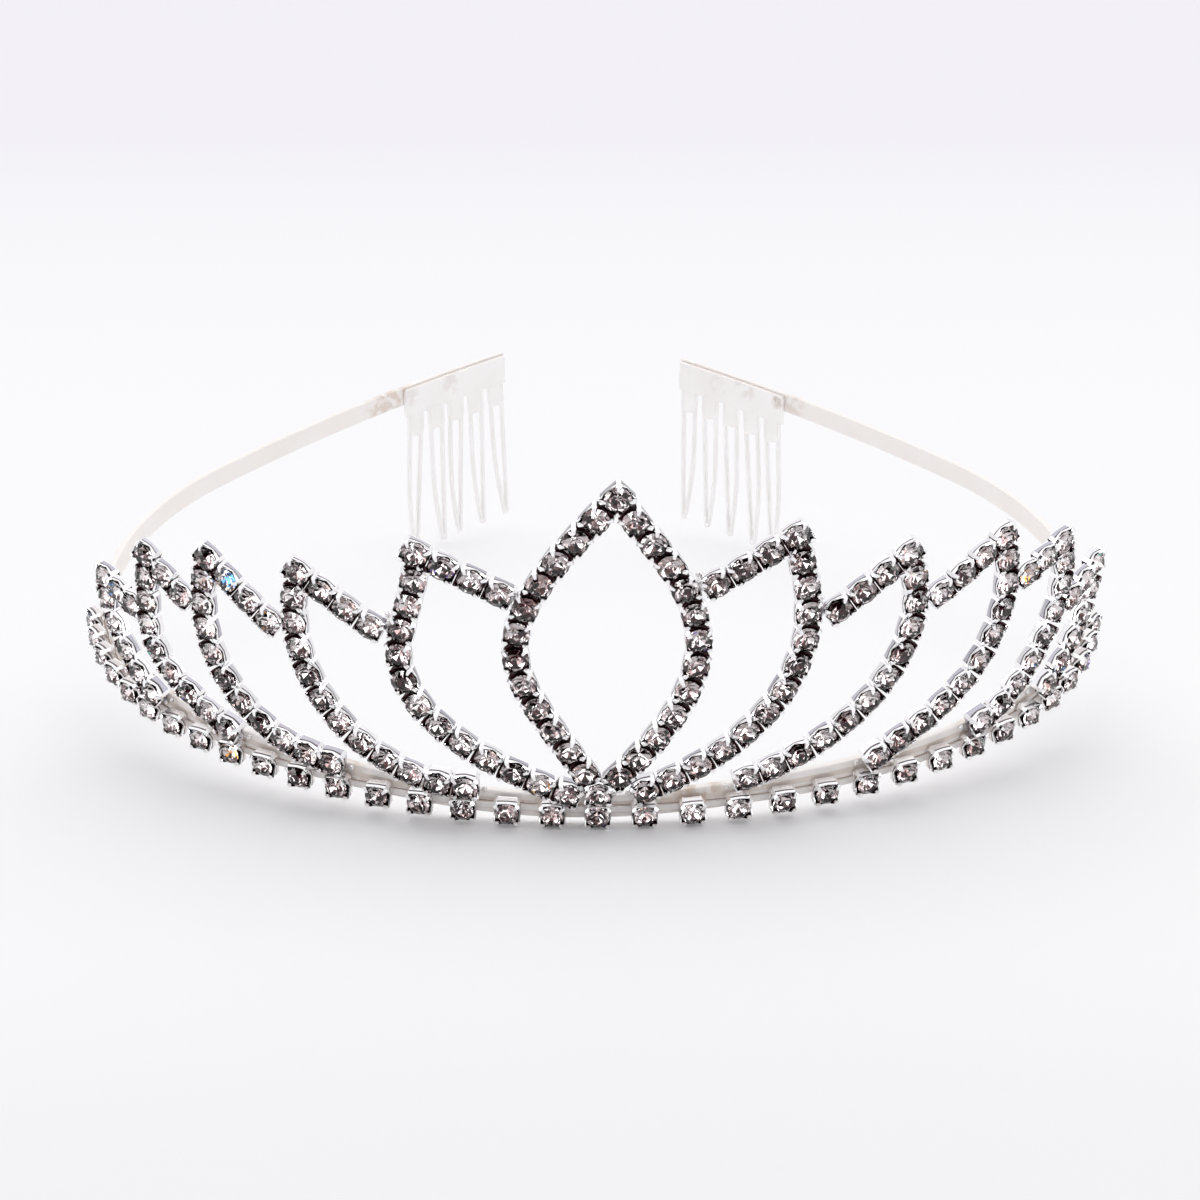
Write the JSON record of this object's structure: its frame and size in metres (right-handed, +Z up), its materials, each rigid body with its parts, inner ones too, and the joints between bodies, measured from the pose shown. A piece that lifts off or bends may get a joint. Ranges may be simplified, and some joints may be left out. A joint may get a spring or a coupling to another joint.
{
  "type": "rhinestone tiara",
  "caption": "Open headband tiara of claw-set round stones, with a pointed oval at the front between rows of leaf-shaped petals and a hair comb inside each end.",
  "frame": {"origin": "on the surface that the tiara stands on, under the middle of its outline", "axes": "-Y is the front, +X is the right hand of a viewer who faces it, +Z is up"},
  "size_m": [0.134, 0.152, 0.0429],
  "materials": {
    "band_metal": "silver-coloured plated strip, slightly warm and softly polished",
    "cup_metal": "bright white silver plating",
    "rhinestone": "clear cut glass with a foil back",
    "comb_metal": "thin warm grey metal, satin"
  },
  "bodies": {
    "root": {"headband": "band_metal", "petal_centre": "cup_metal", "petal_left_1": "cup_metal", "petal_left_2": "cup_metal", "petal_left_3": "cup_metal", "petal_left_4": "cup_metal", "petal_left_5": "cup_metal", "petal_right_1": "cup_metal", "petal_right_2": "cup_metal", "petal_right_3": "cup_metal", "petal_right_4": "cup_metal", "petal_right_5": "cup_metal", "base_stones": "rhinestone", "stones_centre": "rhinestone", "stones_left_1": "rhinestone", "stones_left_2": "rhinestone", "stones_left_3": "rhinestone", "stones_left_4": "rhinestone", "stones_left_5": "rhinestone", "stones_right_1": "rhinestone", "stones_right_2": "rhinestone", "stones_right_3": "rhinestone", "stones_right_4": "rhinestone", "stones_right_5": "rhinestone", "comb_left": "comb_metal", "comb_right": "comb_metal"}
  },
  "joints": []
}
